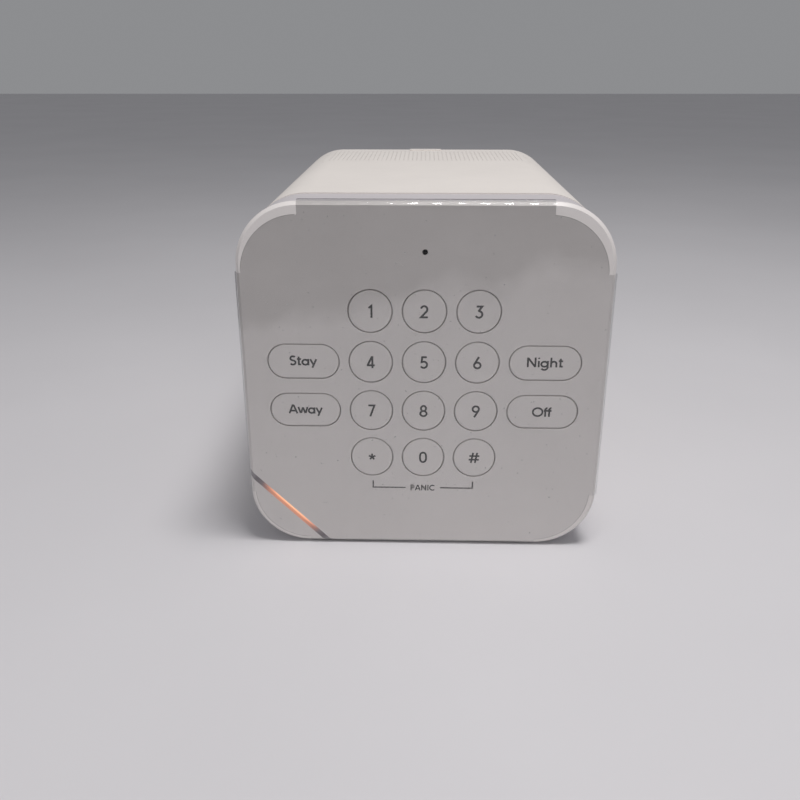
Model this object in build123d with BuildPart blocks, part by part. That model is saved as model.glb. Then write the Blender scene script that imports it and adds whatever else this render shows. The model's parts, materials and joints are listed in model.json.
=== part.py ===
"""Free-standing alarm keypad hub, in millimetres.

A square keypad face with sixteen keys stands at the front of a deep rounded box. Behind the face are a
bezel ring, a housing sleeve with a sounder grille in its roof, and a rear cover with the sockets and the
battery door. Inside are the keypad stack, the status light, a chassis, boards, speaker, siren and battery.

+X is to the right of someone facing the keypad, +Y runs from the keypad to the back, +Z is up. The origin
is on the table, under the middle of the box. "Depth" below means the distance behind the keypad face.
"""

import os
from math import sqrt

from build123d import *

os.makedirs("parts", exist_ok=True)

# ---- overall size
FACE = 120.0  # width and height of the keypad face
DEPTH = 167.0  # from the film in front to the rear cover
CORNER_R = 20.0  # corners of the face
FILM_T = 0.12  # protective film on the face
FOOT_GAP = 0.6  # the feet lift the box off the table by this
MID_Z = FOOT_GAP + FACE / 2  # height of the face's centre
REAR = DEPTH - FILM_T  # depth of the rear surface

# ---- front panel and its light bar
PANEL_T = 2.0
PANEL_BEVEL = 1.05
HOLE_BEVEL = 0.15
MIC_HOLE_R = 0.9
MIC_UP = 44.5  # microphone hole above the face's centre
LIGHT_W = 1.75
LIGHT_CUT = 26.7  # the light bar meets both face edges this far from their shared corner
LIGHT_OUT = (FACE - LIGHT_CUT) / sqrt(2)  # face centre to the light bar, along the diagonal
LIGHT_BLADE_L = 20.0
LIGHT_BLADE_D = 7.0

# ---- keys
PITCH_X = 17.5
PITCH_Z = 17.25
TOP_ROW_UP = 25.3  # top row above the face's centre
WIDE_KEY_X = 39.7
KEY_HOLE_R = 7.3
WIDE_HOLE = (23.9, 12.2)
KEY_GAP = 0.3
KEY_EDGE_R = 0.45
KEY_SUNK = 0.02  # key tops lie this far behind the face
KEY_TRAVEL = 0.8
LIP_OUT = 0.75  # the lip behind the panel stands out this far past the hole
LIP_D = (2.35, 3.1)
STEM_END = 4.1
STEM_R = 2.2

ROUND_KEYS = {
    "key_1": (-1, 0), "key_2": (0, 0), "key_3": (1, 0),
    "key_4": (-1, 1), "key_5": (0, 1), "key_6": (1, 1),
    "key_7": (-1, 2), "key_8": (0, 2), "key_9": (1, 2),
    "key_star": (-1, 3), "key_0": (0, 3), "key_hash": (1, 3),
}
WIDE_KEYS = {"key_stay": (-1, 1), "key_away": (-1, 2), "key_night": (1, 1), "key_off": (1, 2)}

# ---- keypad stack behind the panel, as depths
MAT_D = (5.2, 6.2)
PAD_D = STEM_END + KEY_TRAVEL + 0.05
DOME_H = 0.5
BOARD_D = (7.0, 8.6)
FRAME_D = (8.6, 10.6)
STACK_SIZE = (104.0, 87.0)
STACK_UP = 7.5  # centre of the keypad board above the face's centre
POSTS = [(48, 44), (-48, 44), (48, -32), (-48, -32), (29, 26), (-29, 26)]
POST_R = 2.5

# ---- bezel ring, housing sleeve and rear cover
BEZEL_INSET = 0.7
BEZEL_D = (PANEL_T, 21.0)
BEZEL_WALL = 2.4
RIM_INSET = 5.0
RIM_T = 2.0
CORNER_BOSS = 49.0  # corner bosses lie this far from both middle planes
SLEEVE_INSET = 0.3
SLEEVE_R = 20.6
SLEEVE_WALL = 2.5
SLEEVE_REAR_R = 5.0
REAR_WALL_D = REAR - 5.5
COVER_T = 3.0
COVER_SIZE = 102.0
COVER_R = 12.0
COVER_CLEAR = 0.2
REAR_OPENING = 96.0
REAR_OPENING_R = 10.0
REAR_BOSS = 44.5

# ---- sounder grille in the roof
GRILLE_SIZE = (90.0, 42.0)
GRILLE_D = 134.0  # depth of the grille's middle
GRILLE_T = 1.5
GRILLE_PITCH = 1.9
GRILLE_HOLE_R = 0.32
LEDGE = 2.0
SPEAKER_X = -20.0
SIREN_X = 20.0

# ---- chassis, boards and battery
DECK_UP = -22.5  # underside of the deck, above the face's centre
DECK_T = 2.0
DECK_D = (21.0, 159.0)
DECK_W = 104.0
STANDOFF_H = 2.5
MAIN_T = 1.6
MAIN_SIZE = (92.0, 122.0)
MAIN_D = 99.0
MAIN_TOP = DECK_UP + DECK_T + STANDOFF_H + MAIN_T
LUG_X = 44.0
LUG_D = 152.0  # the rear cover's middle screws reach into lugs that start at this depth
BATTERY = (70.0, 59.0, 20.0)  # width, depth, height
BATTERY_UP = -35.0
BAY_WALL = 1.5
DOOR_SIZE = (78.0, 27.0)
DOOR_T = 1.6
DOOR_OPENING = (73.0, 22.0)
DOOR_GAP = 0.3
DOOR_RECESS = 2.1
DOOR_AXIS_D = 0.9  # the door's hinge lies this far inside its outer face and its lower edge
DOOR_PIN_R = 0.45

# ---- sockets and reset button, above the face's centre
ETHERNET_X = 22.0
ETHERNET_SIZE = (16.0, 13.5)
ETHERNET_L = 21.0
PLUG_HOLE = (11.8, 8.2)
PLUG_HOLE_L = 13.0
POWER_X = -25.0
POWER_UP = -10.0
POWER_R = 4.5
POWER_BORE_R = 3.1
POWER_PIN_R = 1.0
RESET_UP = -10.0
RESET_R = 2.0

# ---- screws
SCREW_R = 1.2
PILOT_R = 1.25
HEAD_R = 2.3
HEAD_H = 1.6


def at(depth):
    """The Y of a point this far behind the keypad face."""
    return -DEPTH / 2 + FILM_T + depth


def face_plane(depth):
    """A sketch plane parallel to the face: its x is +X, its y is +Z, its normal points to the front."""
    return Plane(origin=(0, at(depth), MID_Z), x_dir=(1, 0, 0), z_dir=(0, -1, 0))


def floor_plane(up):
    """A horizontal sketch plane, this far above the face's centre."""
    return Plane.XY.offset(MID_Z + up)


def key_point(column, row):
    """Where a round key's centre lies on the face."""
    return (column * PITCH_X, TOP_ROW_UP - row * PITCH_Z)


def wide_key_point(side, row):
    """Where a wide key's centre lies on the face."""
    return (side * WIDE_KEY_X, TOP_ROW_UP - row * PITCH_Z)


def diagonal_strip(width, length, out=LIGHT_OUT):
    """In a face sketch: a strip across the lower left corner, its middle this far out along the diagonal."""
    with Locations((-out / sqrt(2), -out / sqrt(2))):
        Rectangle(width, length, rotation=45)


def rounded_block(inset, front, rear, radius=CORNER_R):
    """A square block with the face's outline less an inset, from one depth to another."""
    with BuildPart() as block:
        with BuildSketch(face_plane(front)):
            RectangleRounded(FACE - 2 * inset, FACE - 2 * inset, radius - inset)
        extrude(amount=front - rear)
    return block.part


def finish(part, name):
    """Labels a finished piece and writes its file."""
    part.label = name
    export_step(part, f"parts/{name}.step")


def screws(points, head_depth, length):
    """Screws driven forward, parallel to Y: heads start at head_depth, shanks run forward from it."""
    with BuildPart() as group:
        with BuildSketch(face_plane(head_depth + HEAD_H)):
            with Locations(*points):
                Circle(HEAD_R)
        extrude(amount=HEAD_H)
        with BuildSketch(face_plane(head_depth + HEAD_H)):
            with Locations(*points):
                RegularPolygon(1.1, 6)
        extrude(amount=0.9, mode=Mode.SUBTRACT)
        with BuildSketch(face_plane(head_depth)):
            with Locations(*points):
                Circle(SCREW_R)
        extrude(amount=length)
    return group.part


# ======== front panel, corner cap, light bar ========


def panel_envelope():
    """The outer form that the front panel, the light bar and the corner cap share."""
    with BuildPart() as envelope:
        with BuildSketch(face_plane(0)):
            RectangleRounded(FACE, FACE, CORNER_R)
        extrude(amount=-PANEL_T)
        chamfer(envelope.faces().sort_by(Axis.Y)[0].edges(), PANEL_BEVEL)
    return envelope.part


def beyond_light(start, reach=60.0):
    """In a face sketch: the corner area that begins this far out along the diagonal."""
    diagonal_strip(reach, 3 * reach, out=start + reach / 2)


with BuildPart() as front_panel:
    add(panel_envelope())
    with BuildSketch(face_plane(-1)):
        beyond_light(LIGHT_OUT - LIGHT_W / 2)
        with Locations(*[key_point(*spot) for spot in ROUND_KEYS.values()]):
            Circle(KEY_HOLE_R)
        with Locations(*[wide_key_point(*spot) for spot in WIDE_KEYS.values()]):
            SlotOverall(*WIDE_HOLE)
        with Locations((0, MIC_UP)):
            Circle(MIC_HOLE_R)
    extrude(amount=-(PANEL_T + 2), mode=Mode.SUBTRACT)
    for hole in front_panel.faces().sort_by(Axis.Y)[0].inner_wires():
        chamfer(hole.edges(), HOLE_BEVEL)
    with BuildSketch(face_plane(PANEL_T)):
        with Locations(*POSTS):
            Circle(POST_R)
            Circle(PILOT_R, mode=Mode.SUBTRACT)
    extrude(amount=PANEL_T - BOARD_D[0])
finish(front_panel.part, "front_panel")

with BuildPart() as corner_cap:
    add(panel_envelope())
    with BuildSketch(face_plane(-1)):
        beyond_light(LIGHT_OUT + LIGHT_W / 2)
    extrude(amount=-(PANEL_T + 2), mode=Mode.INTERSECT)
finish(corner_cap.part, "corner_cap")

with BuildPart() as light_bar:
    add(panel_envelope())
    with BuildSketch(face_plane(-1)):
        diagonal_strip(LIGHT_W, FACE)
    extrude(amount=-(PANEL_T + 2), mode=Mode.INTERSECT)
    with BuildSketch(face_plane(PANEL_T)):
        diagonal_strip(LIGHT_W, LIGHT_BLADE_L)
    extrude(amount=PANEL_T - LIGHT_BLADE_D)
finish(light_bar.part, "light_bar")

# ======== protective film ========

FILM_FLAP = 2.6
FILM_NOTCH_X = 39.8  # the film's corners are cut away past these distances from the middle
FILM_NOTCH_TOP = 37.7
FILM_NOTCH_LOW = 40.4
FILM_FACE = (116.2, 114.4)  # the film on the face itself, stuck on a little off-centre
FILM_SHIFT = (-0.4, -1.1)
FILM_R = 18.7
FOLD_AIR = 0.46  # the folded film stands off the panel's sides by this


def wrapped_block(grow, depth):
    """A square block with straight bevelled front edges: the film's inside, grown by this much."""
    side = FACE + 2 * (FOLD_AIR + grow)
    with BuildPart() as block:
        with BuildSketch(face_plane(-grow)):
            Rectangle(side, side)
        extrude(amount=-(grow + depth))
        chamfer(block.faces().sort_by(Axis.Y)[0].edges(), PANEL_BEVEL + grow * (2 - sqrt(2)))
    return block.part


with BuildPart() as protective_film:
    add(wrapped_block(FILM_T, FILM_FLAP))
    add(wrapped_block(0, FILM_FLAP + 1), mode=Mode.SUBTRACT)
    with BuildSketch(face_plane(-1)):
        with Locations((-FACE / 2, FACE / 2), (FACE / 2, FACE / 2)):
            Rectangle(FACE - 2 * FILM_NOTCH_X, FACE - 2 * FILM_NOTCH_TOP)
        with Locations((-FACE / 2, -FACE / 2), (FACE / 2, -FACE / 2)):
            Rectangle(FACE - 2 * FILM_NOTCH_X, FACE - 2 * FILM_NOTCH_LOW)
        with Locations(FILM_SHIFT):
            RectangleRounded(*FILM_FACE, FILM_R, mode=Mode.SUBTRACT)
    extrude(amount=-(FILM_FLAP + 2), mode=Mode.SUBTRACT)
finish(protective_film.part, "protective_film")

# ======== keys ========


def key(outline, point):
    """A key cap: outline(grow) draws its outline, grown past the hole in the panel by that much."""
    with BuildPart() as cap:
        with BuildSketch(face_plane(KEY_SUNK)):
            with Locations(point):
                outline(-KEY_GAP)
        extrude(amount=KEY_SUNK - LIP_D[0])
        fillet(cap.faces().sort_by(Axis.Y)[0].edges(), KEY_EDGE_R)
        with BuildSketch(face_plane(LIP_D[0])):
            with Locations(point):
                outline(LIP_OUT)
        extrude(amount=LIP_D[0] - LIP_D[1])
        with BuildSketch(face_plane(LIP_D[1])):
            with Locations(point):
                Circle(STEM_R)
        extrude(amount=LIP_D[1] - STEM_END)
    return cap.part


def round_outline(grow):
    Circle(KEY_HOLE_R + grow)


def wide_outline(grow):
    SlotOverall(WIDE_HOLE[0] + 2 * grow, WIDE_HOLE[1] + 2 * grow)


for name, spot in ROUND_KEYS.items():
    finish(key(round_outline, key_point(*spot)), name)
for name, spot in WIDE_KEYS.items():
    finish(key(wide_outline, wide_key_point(*spot)), name)

KEY_POINTS = [key_point(*spot) for spot in ROUND_KEYS.values()]
KEY_POINTS += [wide_key_point(*spot) for spot in WIDE_KEYS.values()]

# ======== keypad stack ========

with BuildPart() as keymat:
    with BuildSketch(face_plane(MAT_D[0])):
        RectangleRounded(102, 74, 3)
        with Locations(*POSTS):
            Circle(POST_R + 0.6, mode=Mode.SUBTRACT)
    extrude(amount=MAT_D[0] - MAT_D[1])
    with BuildSketch(face_plane(PAD_D)):
        with Locations(*KEY_POINTS):
            Circle(3.2)
    extrude(amount=PAD_D - MAT_D[0])
finish(keymat.part, "keymat")

with BuildPart() as snap_domes:
    with BuildSketch(face_plane(BOARD_D[0] - DOME_H)):
        with Locations(*KEY_POINTS):
            Circle(2.4)
    extrude(amount=-DOME_H, taper=-45)
finish(snap_domes.part, "snap_domes")

with BuildPart() as keypad_board:
    with BuildSketch(face_plane(BOARD_D[0])):
        with Locations((0, STACK_UP)):
            RectangleRounded(*STACK_SIZE, 3)
        with Locations(*POSTS):
            Circle(1.5, mode=Mode.SUBTRACT)
    extrude(amount=BOARD_D[0] - BOARD_D[1])
finish(keypad_board.part, "keypad_board")

with BuildPart() as keypad_frame:
    with BuildSketch(face_plane(FRAME_D[0])):
        with Locations((0, STACK_UP)):
            RectangleRounded(*STACK_SIZE, 3)
            with GridLocations(33, 0, 3, 1):
                RectangleRounded(27, STACK_SIZE[1] - 22, 4, mode=Mode.SUBTRACT)
        with Locations(*POSTS):
            Circle(3.6)
        with Locations(*POSTS):
            Circle(1.5, mode=Mode.SUBTRACT)
    extrude(amount=FRAME_D[0] - FRAME_D[1])
finish(keypad_frame.part, "keypad_frame")

finish(screws(POSTS, FRAME_D[1], FRAME_D[1] - PANEL_T - 0.8), "keypad_screws")

with BuildPart() as mic_gasket:
    with BuildSketch(face_plane(PANEL_T)):
        with Locations((0, MIC_UP)):
            Circle(3.0)
    extrude(amount=-3.6)
    with BuildSketch(face_plane(0.5)):
        with Locations((0, MIC_UP)):
            Circle(MIC_HOLE_R - 0.05)
    extrude(amount=0.5 - PANEL_T)
    with BuildSketch(face_plane(0)):
        with Locations((0, MIC_UP)):
            Circle(0.5)
    extrude(amount=-10, mode=Mode.SUBTRACT)
finish(mic_gasket.part, "mic_gasket")

with BuildPart() as microphone:
    with BuildSketch(face_plane(PANEL_T + 3.6)):
        with Locations((0, MIC_UP)):
            Circle(3.0)
            Circle(0.5, mode=Mode.SUBTRACT)
    extrude(amount=-0.4)
    with BuildSketch(face_plane(PANEL_T + 4.0)):
        with Locations((0, MIC_UP)):
            Circle(3.0)
    extrude(amount=-1.0)
finish(microphone.part, "microphone")

# ======== status light ========

HOLDER_D = (PANEL_T + RIM_T, 8.0)
HOLDER_L = 23.0
LED_D = 7.2
LED_SPACING = 5.6

with BuildPart() as light_holder:
    with BuildSketch(face_plane(HOLDER_D[0])):
        diagonal_strip(5.0, HOLDER_L)
    extrude(amount=HOLDER_D[0] - HOLDER_D[1])
    with BuildSketch(face_plane(HOLDER_D[0])):
        diagonal_strip(LIGHT_W + 0.4, LIGHT_BLADE_L + 0.6)
    extrude(amount=HOLDER_D[0] - HOLDER_D[1], mode=Mode.SUBTRACT)
finish(light_holder.part, "light_holder")

with BuildPart() as light_board:
    with BuildSketch(face_plane(HOLDER_D[1])):
        diagonal_strip(5.0, HOLDER_L)
    extrude(amount=-1.2)
finish(light_board.part, "light_board")

with BuildPart() as light_leds:
    with BuildSketch(face_plane(LED_D)):
        with Locations((-LIGHT_OUT / sqrt(2), -LIGHT_OUT / sqrt(2))):
            with Locations(Rotation(0, 0, 45)):
                with GridLocations(0, LED_SPACING, 1, 4):
                    Rectangle(1.8, 3.2)
    extrude(amount=LED_D - HOLDER_D[1])
finish(light_leds.part, "light_leds")

# ======== bezel ring ========

BOSS_D = (13.0, 19.0)
CORNERS = [(x * CORNER_BOSS, z * CORNER_BOSS) for x in (-1, 1) for z in (-1, 1)]

with BuildPart() as bezel_ring:
    add(rounded_block(BEZEL_INSET, *BEZEL_D))
    add(rounded_block(BEZEL_INSET + BEZEL_WALL, PANEL_T + RIM_T, BEZEL_D[1] + 1), mode=Mode.SUBTRACT)
    add(rounded_block(RIM_INSET, PANEL_T - 1, BEZEL_D[1]), mode=Mode.SUBTRACT)
    with BuildSketch(face_plane(BOSS_D[0])):
        with Locations(*CORNERS):
            Circle(5)
            Circle(PILOT_R, mode=Mode.SUBTRACT)
    extrude(amount=BOSS_D[0] - BOSS_D[1])
finish(bezel_ring.part, "bezel_ring")

# ======== housing sleeve ========

REAR_CORNERS = [(x * REAR_BOSS, z * REAR_BOSS) for x in (-1, 1) for z in (-1, 1)]
LUGS = [(-LUG_X, DECK_UP + 1), (LUG_X, DECK_UP + 1)]
FEET = [(x, at(depth)) for x in (-32, 32) for depth in (34, 146)]
FOOT_R = 6.0
FOOT_POCKET = 1.0
SLEEVE_TOP = FACE / 2 - SLEEVE_INSET  # roof and walls, from the face's centre


def roof_skin(top, bottom, margin, radius):
    """A patch of the roof over the sounders, between two insets from the outline of the face."""
    with BuildPart() as patch:
        add(rounded_block(top, GRILLE_D - GRILLE_SIZE[1], GRILLE_D + GRILLE_SIZE[1], SLEEVE_R))
        add(rounded_block(bottom, BEZEL_D[1], DEPTH + 20, SLEEVE_R), mode=Mode.SUBTRACT)
        with BuildSketch(floor_plane(0)):
            with Locations((0, at(GRILLE_D))):
                RectangleRounded(GRILLE_SIZE[0] - 2 * margin, GRILLE_SIZE[1] - 2 * margin, radius)
        extrude(amount=FACE, mode=Mode.INTERSECT)
    return patch.part


with BuildPart() as housing_sleeve:
    add(rounded_block(SLEEVE_INSET, BEZEL_D[1], REAR, SLEEVE_R))
    fillet(housing_sleeve.faces().sort_by(Axis.Y)[-1].edges(), SLEEVE_REAR_R)
    cavity_inset = SLEEVE_INSET + SLEEVE_WALL
    with BuildPart(mode=Mode.PRIVATE) as cavity:
        add(rounded_block(cavity_inset, BEZEL_D[1] - 1, REAR_WALL_D, SLEEVE_R))
        fillet(cavity.faces().sort_by(Axis.Y)[-1].edges(), SLEEVE_REAR_R - SLEEVE_WALL)
    add(cavity.part, mode=Mode.SUBTRACT)
    # corner bosses for the cover's screws
    with BuildSketch(face_plane(REAR_WALL_D - 10)):
        with Locations(*REAR_CORNERS):
            Circle(4)
    extrude(amount=-10.5)
    # stepped opening for the rear cover
    with BuildSketch(face_plane(REAR - COVER_T)):
        RectangleRounded(COVER_SIZE, COVER_SIZE, COVER_R)
    extrude(amount=-(COVER_T + 1), mode=Mode.SUBTRACT)
    with BuildSketch(face_plane(REAR_WALL_D - 1)):
        RectangleRounded(REAR_OPENING, REAR_OPENING, REAR_OPENING_R)
        with Locations(*REAR_CORNERS):
            Circle(4, mode=Mode.SUBTRACT)
    extrude(amount=-6, mode=Mode.SUBTRACT)
    with BuildSketch(face_plane(REAR_WALL_D - 9)):
        with Locations(*REAR_CORNERS):
            Circle(PILOT_R)
    extrude(amount=-14, mode=Mode.SUBTRACT)
    # stepped window for the sounder grille
    add(roof_skin(SLEEVE_INSET, SLEEVE_INSET + GRILLE_T, 0, 3), mode=Mode.SUBTRACT)
    add(roof_skin(SLEEVE_INSET, SLEEVE_INSET + SLEEVE_WALL + 1, LEDGE, 2), mode=Mode.SUBTRACT)
    # low pad on the roof's rear edge
    with BuildSketch(floor_plane(SLEEVE_TOP - 1)):
        with Locations((0, at(REAR - SLEEVE_REAR_R - 3))):
            RectangleRounded(15, 5, 1.5)
    extrude(amount=1 + 0.4)
    # foot pockets
    with BuildSketch(floor_plane(-SLEEVE_TOP - 1)):
        with Locations(*FEET):
            Circle(FOOT_R + 0.1)
    extrude(amount=1 + FOOT_POCKET, mode=Mode.SUBTRACT)
finish(housing_sleeve.part, "housing_sleeve")

with BuildPart() as speaker_grille:
    with BuildSketch(floor_plane(FACE / 4)):
        with Locations((0, at(GRILLE_D))):
            RectangleRounded(GRILLE_SIZE[0] - 0.1, GRILLE_SIZE[1] - 0.1, 3)
            with GridLocations(GRILLE_PITCH, GRILLE_PITCH, 45, 20):
                Circle(GRILLE_HOLE_R, mode=Mode.SUBTRACT)
    extrude(amount=FACE / 2)
    add(roof_skin(SLEEVE_INSET, SLEEVE_INSET + GRILLE_T, 0, 3), mode=Mode.INTERSECT)
finish(speaker_grille.part, "speaker_grille")

finish(roof_skin(SLEEVE_INSET + GRILLE_T, SLEEVE_INSET + GRILLE_T + 0.3, LEDGE + 0.1, 2), "grille_cloth")

with BuildPart() as rubber_feet:
    with BuildSketch(Plane.XY):
        with Locations(*FEET):
            Circle(FOOT_R)
    extrude(amount=FOOT_GAP + SLEEVE_INSET + FOOT_POCKET)
    chamfer(rubber_feet.faces().group_by(Axis.Z)[0].edges(), 0.3)
finish(rubber_feet.part, "rubber_feet")

with BuildPart() as rating_label:
    with BuildSketch(floor_plane(-SLEEVE_TOP - 0.1)):
        RectangleRounded(64, 40, 3)
    extrude(amount=0.1)
finish(rating_label.part, "rating_label")

# ======== sounders ========

TRAY_UP = SLEEVE_TOP - SLEEVE_WALL - 2.0
SPEAKER_R = 17.5
SIREN_R = 15.0

with BuildPart() as sounder_tray:
    with BuildSketch(floor_plane(TRAY_UP)):
        with Locations((0, at(GRILLE_D))):
            RectangleRounded(78, GRILLE_SIZE[1] + 4, 3)
        with Locations((SPEAKER_X, at(GRILLE_D))):
            Circle(SPEAKER_R - 1.8, mode=Mode.SUBTRACT)
        with Locations((SIREN_X, at(GRILLE_D))):
            Circle(SIREN_R - 1.5, mode=Mode.SUBTRACT)
    extrude(amount=2.0)
finish(sounder_tray.part, "sounder_tray")

with BuildPart() as speaker_basket:
    with BuildSketch(floor_plane(TRAY_UP)):
        with Locations((SPEAKER_X, at(GRILLE_D))):
            Circle(SPEAKER_R)
            Circle(SPEAKER_R - 2.0, mode=Mode.SUBTRACT)
    extrude(amount=-1.5)
    with BuildSketch(floor_plane(TRAY_UP - 1.5)):
        with Locations((SPEAKER_X, at(GRILLE_D))):
            Circle(SPEAKER_R)
            Circle(SPEAKER_R - 1.2, mode=Mode.SUBTRACT)
    extrude(amount=-6.0)
    with BuildSketch(floor_plane(TRAY_UP - 7.5)):
        with Locations((SPEAKER_X, at(GRILLE_D))):
            Circle(SPEAKER_R)
            Circle(6.0, mode=Mode.SUBTRACT)
    extrude(amount=-1.2)
finish(speaker_basket.part, "speaker_basket")

with BuildPart() as speaker_cone:
    with BuildSketch(floor_plane(TRAY_UP - 1.5)):
        with Locations((SPEAKER_X, at(GRILLE_D))):
            Circle(SPEAKER_R - 1.3)
    extrude(amount=-5.0, taper=38)
    with BuildSketch(floor_plane(TRAY_UP - 1.0)):
        with Locations((SPEAKER_X, at(GRILLE_D))):
            Circle(SPEAKER_R - 3.2)
    extrude(amount=-5.0, taper=40, mode=Mode.SUBTRACT)
finish(speaker_cone.part, "speaker_cone")

with BuildPart() as speaker_magnet:
    with BuildSketch(floor_plane(TRAY_UP - 8.7)):
        with Locations((SPEAKER_X, at(GRILLE_D))):
            Circle(11)
    extrude(amount=-5.5)
    fillet(speaker_magnet.edges().filter_by(GeomType.CIRCLE), 0.6)
finish(speaker_magnet.part, "speaker_magnet")

with BuildPart() as siren_horn:
    with BuildSketch(floor_plane(TRAY_UP)):
        with Locations((SIREN_X, at(GRILLE_D))):
            Circle(SIREN_R)
    extrude(amount=-13)
    with BuildSketch(floor_plane(TRAY_UP)):
        with Locations((SIREN_X, at(GRILLE_D))):
            Circle(SIREN_R - 1.6)
    extrude(amount=-10, mode=Mode.SUBTRACT)
finish(siren_horn.part, "siren_horn")

# ======== chassis and boards ========

DECK_MID_D = sum(DECK_D) / 2
SCREW_X = MAIN_SIZE[0] / 2 - 5
SCREW_Y = MAIN_SIZE[1] / 2 - 5
BOARD_SCREWS = [(x * SCREW_X, at(MAIN_D) + y * SCREW_Y) for x in (-1, 1) for y in (-1, 1)]

with BuildPart() as chassis:
    with BuildSketch(face_plane(BOSS_D[1])):
        RectangleRounded(FACE - 7.2, FACE - 7.2, CORNER_R - 3.6)
        RectangleRounded(FACE - 30, FACE - 30, 8, mode=Mode.SUBTRACT)
        with Locations(*CORNERS):
            Circle(1.5, mode=Mode.SUBTRACT)
    extrude(amount=BOSS_D[1] - DECK_D[0])
    with BuildSketch(floor_plane(DECK_UP)):
        with Locations((0, at(DECK_MID_D - 0.5))):
            Rectangle(DECK_W, DECK_D[1] - DECK_D[0] + 1)
    extrude(amount=DECK_T)
    with BuildSketch(floor_plane(DECK_UP + DECK_T)):
        with Locations(*BOARD_SCREWS):
            Circle(3)
    extrude(amount=STANDOFF_H)
    with BuildSketch(face_plane(LUG_D)):
        with Locations(*LUGS):
            Circle(3.3)
    extrude(amount=LUG_D - (REAR - COVER_T))
    with BuildSketch(face_plane(LUG_D + 3)):
        with Locations(*LUGS):
            Circle(PILOT_R)
    extrude(amount=-20, mode=Mode.SUBTRACT)
    with BuildSketch(floor_plane(DECK_UP - 1)):
        with Locations(*BOARD_SCREWS):
            Circle(PILOT_R)
    extrude(amount=10, mode=Mode.SUBTRACT)
finish(chassis.part, "chassis")

finish(screws(CORNERS, DECK_D[0], DECK_D[0] - BOSS_D[0] - 1.0), "chassis_screws")

with BuildPart() as main_board:
    with BuildSketch(floor_plane(MAIN_TOP - MAIN_T)):
        with Locations((0, at(MAIN_D))):
            RectangleRounded(*MAIN_SIZE, 2)
        with Locations(*BOARD_SCREWS):
            Circle(1.5, mode=Mode.SUBTRACT)
    extrude(amount=MAIN_T)
finish(main_board.part, "main_board")

with BuildPart() as board_screws:
    with BuildSketch(floor_plane(MAIN_TOP)):
        with Locations(*BOARD_SCREWS):
            Circle(HEAD_R)
    extrude(amount=HEAD_H)
    with BuildSketch(floor_plane(MAIN_TOP)):
        with Locations(*BOARD_SCREWS):
            Circle(SCREW_R)
    extrude(amount=-(MAIN_T + STANDOFF_H + 1.5))
finish(board_screws.part, "board_screws")

with BuildPart() as shield_cans:
    with BuildSketch(floor_plane(MAIN_TOP)):
        with Locations((20, at(62)), (20, at(92))):
            RectangleRounded(28, 22, 1.5)
    extrude(amount=3.2)
finish(shield_cans.part, "shield_cans")

with BuildPart() as cell_module:
    with BuildSketch(floor_plane(MAIN_TOP)):
        with Locations((-22, at(80))):
            Rectangle(30, 32)
    extrude(amount=1.0)
    with BuildSketch(floor_plane(MAIN_TOP + 1.0)):
        with Locations((-22, at(80))):
            RectangleRounded(27, 28, 1)
    extrude(amount=2.4)
finish(cell_module.part, "cell_module")

ANTENNA_IN = FACE / 2 - SLEEVE_INSET - SLEEVE_WALL

with BuildPart() as antennas:
    with BuildSketch(floor_plane(-8)):
        with Locations((ANTENNA_IN - 0.5, at(70)), (0.5 - ANTENNA_IN, at(70))):
            Rectangle(1.0, 16)
    extrude(amount=44)
finish(antennas.part, "antennas")

# ribbon cable between the two boards, along the middle plane
RIBBON_W = 12.0
RIBBON_T = 0.3
RIBBON_UP = -12.0
RIBBON_LAND = MAIN_TOP + 1.2
RIBBON_FRONT = BOARD_D[1] + 1.6
RIBBON_REAR = 42.0
SIDE_PLANE = Plane(origin=(0, at(0), MID_Z), x_dir=(0, 1, 0), z_dir=(1, 0, 0))

with BuildPart() as ribbon_cable:
    with BuildSketch(SIDE_PLANE):
        with BuildLine() as ribbon_path:
            FilletPolyline(
                (RIBBON_FRONT + RIBBON_T / 2, RIBBON_UP),
                (RIBBON_FRONT + 9, RIBBON_UP),
                (RIBBON_REAR - 11, RIBBON_LAND),
                (RIBBON_REAR - RIBBON_T / 2, RIBBON_LAND),
                radius=6,
            )
            offset(amount=RIBBON_T / 2, side=Side.BOTH)
        make_face()
    extrude(amount=RIBBON_W / 2, both=True)
finish(ribbon_cable.part, "ribbon_cable")

with BuildPart() as ribbon_sockets:
    with BuildSketch(face_plane(BOARD_D[1])):
        with Locations((0, RIBBON_UP)):
            Rectangle(15, 4)
    extrude(amount=BOARD_D[1] - RIBBON_FRONT)
    with BuildSketch(floor_plane(MAIN_TOP)):
        with Locations((0, at(RIBBON_REAR + 2))):
            Rectangle(15, 4)
    extrude(amount=2.4)
finish(ribbon_sockets.part, "ribbon_sockets")

# ======== battery ========

BAY_D = (100.0, REAR - COVER_T)

with BuildPart() as battery_bay:
    with BuildSketch(face_plane(BAY_D[0])):
        with Locations((0, BATTERY_UP)):
            Rectangle(DOOR_OPENING[0] + 2 * BAY_WALL, DOOR_OPENING[1] + 2 * BAY_WALL)
    extrude(amount=BAY_D[0] - BAY_D[1])
    with BuildSketch(face_plane(BAY_D[0] + BAY_WALL)):
        with Locations((0, BATTERY_UP)):
            Rectangle(*DOOR_OPENING)
    extrude(amount=BAY_D[0] - BAY_D[1], mode=Mode.SUBTRACT)
    with BuildSketch(floor_plane(DECK_UP)):
        with Locations((0, at(sum(BAY_D) / 2))):
            Rectangle(FACE, BAY_D[1])
    extrude(amount=10, mode=Mode.SUBTRACT)
finish(battery_bay.part, "battery_bay")

CELL_R = BATTERY[2] / 2
CELL_STEP = (BATTERY[0] - 2 * CELL_R) / 3

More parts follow.
